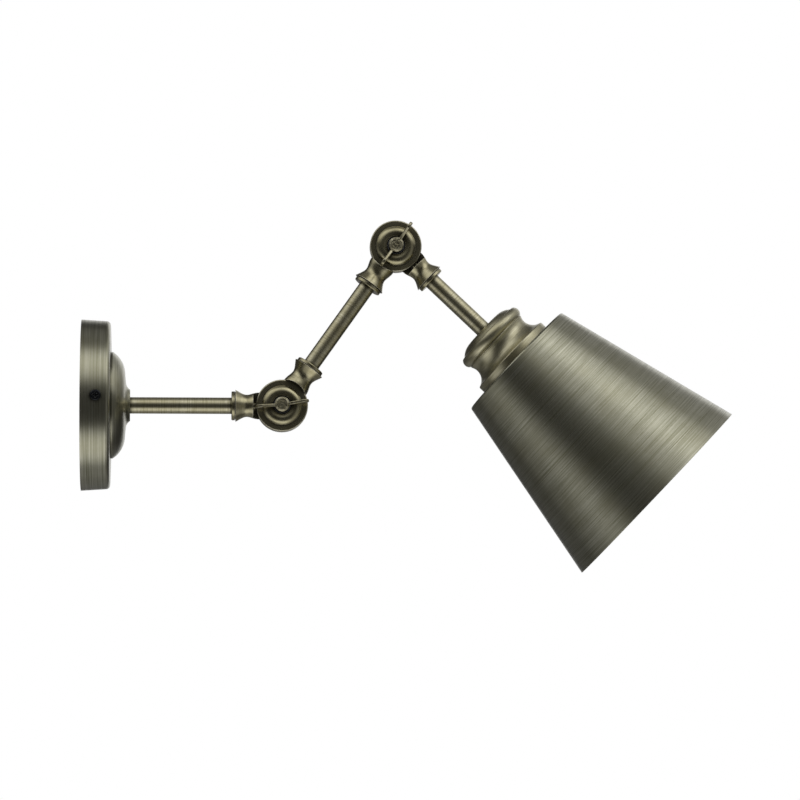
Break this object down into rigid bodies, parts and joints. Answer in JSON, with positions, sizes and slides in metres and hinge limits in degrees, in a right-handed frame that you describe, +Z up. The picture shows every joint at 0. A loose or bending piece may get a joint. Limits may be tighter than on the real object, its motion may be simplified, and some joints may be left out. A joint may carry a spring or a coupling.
{
  "type": "articulating wall lamp",
  "caption": "Two-elbow wall lamp in aged brushed brass: round wall canopy, tube arms, wing-screw knuckles, turned lampholder cup and flat-topped conical shade.",
  "frame": {"origin": "centre of the canopy's back rim, on the wall plane", "axes": "+X out of the wall along the wall arm, +Z up, the arms lie in the XZ plane and both elbows turn about Y"},
  "size_m": [0.4764, 0.16, 0.2587],
  "materials": {
    "brushed_antique_brass_sheet": "spun steel sheet, brass plated, darkened and brushed round its axis, satin lacquer",
    "antique_brass_casting": "cast or turned brass, darkened and relieved, satin lacquer",
    "antique_brass_tube": "drawn brass tube, darkened, satin lacquer",
    "zinc_plated_steel": "zinc plated",
    "black_steel": "black oxide, satin",
    "plain_brass": "plain turned brass",
    "white_nylon": "moulded nylon",
    "black_phenolic": "moulded phenolic",
    "white_ceramic": "unglazed steatite ceramic",
    "red_fibre": "pressed vulcanised fibre"
  },
  "bodies": {
    "base": {"canopy": "brushed_antique_brass_sheet", "wall_bracket": "zinc_plated_steel", "canopy_side_screws": "black_steel", "earth_screw": "plain_brass", "earth_washer": "plain_brass", "terminal_block": "white_nylon", "terminal_screws": "zinc_plated_steel", "terminal_block_screw": "zinc_plated_steel", "canopy_nipple": "zinc_plated_steel", "canopy_locknut": "zinc_plated_steel", "canopy_lock_washer": "zinc_plated_steel", "wall_arm_tube": "antique_brass_tube", "wall_arm_nipple": "zinc_plated_steel", "wall_arm_knuckle": "antique_brass_casting", "lower_friction_washer": "red_fibre", "lower_cap_nut": "antique_brass_casting"},
    "lower_wing": {"lower_wing_screw": "antique_brass_casting"},
    "middle_arm": {"lower_spring_washer": "zinc_plated_steel", "middle_arm_lower_knuckle": "antique_brass_casting", "middle_arm_lower_nipple": "zinc_plated_steel", "middle_arm_tube": "antique_brass_tube", "middle_arm_upper_nipple": "zinc_plated_steel", "middle_arm_upper_knuckle": "antique_brass_casting", "upper_spring_washer": "zinc_plated_steel"},
    "shade_arm": {"upper_friction_washer": "red_fibre", "upper_cap_nut": "antique_brass_casting", "shade_arm_knuckle": "antique_brass_casting", "shade_arm_nipple": "zinc_plated_steel", "shade_arm_tube": "antique_brass_tube", "holder_nipple": "zinc_plated_steel", "holder_cup": "antique_brass_casting", "holder_locknut": "zinc_plated_steel", "lampholder_cap": "black_phenolic", "lampholder_body": "black_phenolic", "lampholder_insulator": "white_ceramic", "lampholder_screw_shell": "plain_brass", "lampholder_contacts": "plain_brass", "shade_ring": "black_phenolic", "shade": "brushed_antique_brass_sheet"},
    "upper_wing": {"upper_wing_screw": "antique_brass_casting"}
  },
  "joints": [
    {"name": "lower_elbow", "type": "hinge", "parent": "base", "child": "middle_arm", "pos_m": [0.1464, 0, 0], "axis": [0, -1, 0], "range_deg": [-105, 60]},
    {"name": "upper_elbow", "type": "hinge", "parent": "middle_arm", "child": "shade_arm", "pos_m": [0.22987, 0, 0.11832], "axis": [0, -1, 0], "range_deg": [-21, 183]},
    {"name": "lower_wing_turn", "type": "hinge", "parent": "base", "child": "lower_wing", "pos_m": [0.1464, -0.00715, 0], "axis": [0, -1, 0], "range_deg": [0, 180]},
    {"name": "upper_wing_turn", "type": "hinge", "parent": "shade_arm", "child": "upper_wing", "pos_m": [0.22987, -0.00715, 0.11832], "axis": [0, -1, 0], "range_deg": [0, 180]}
  ]
}
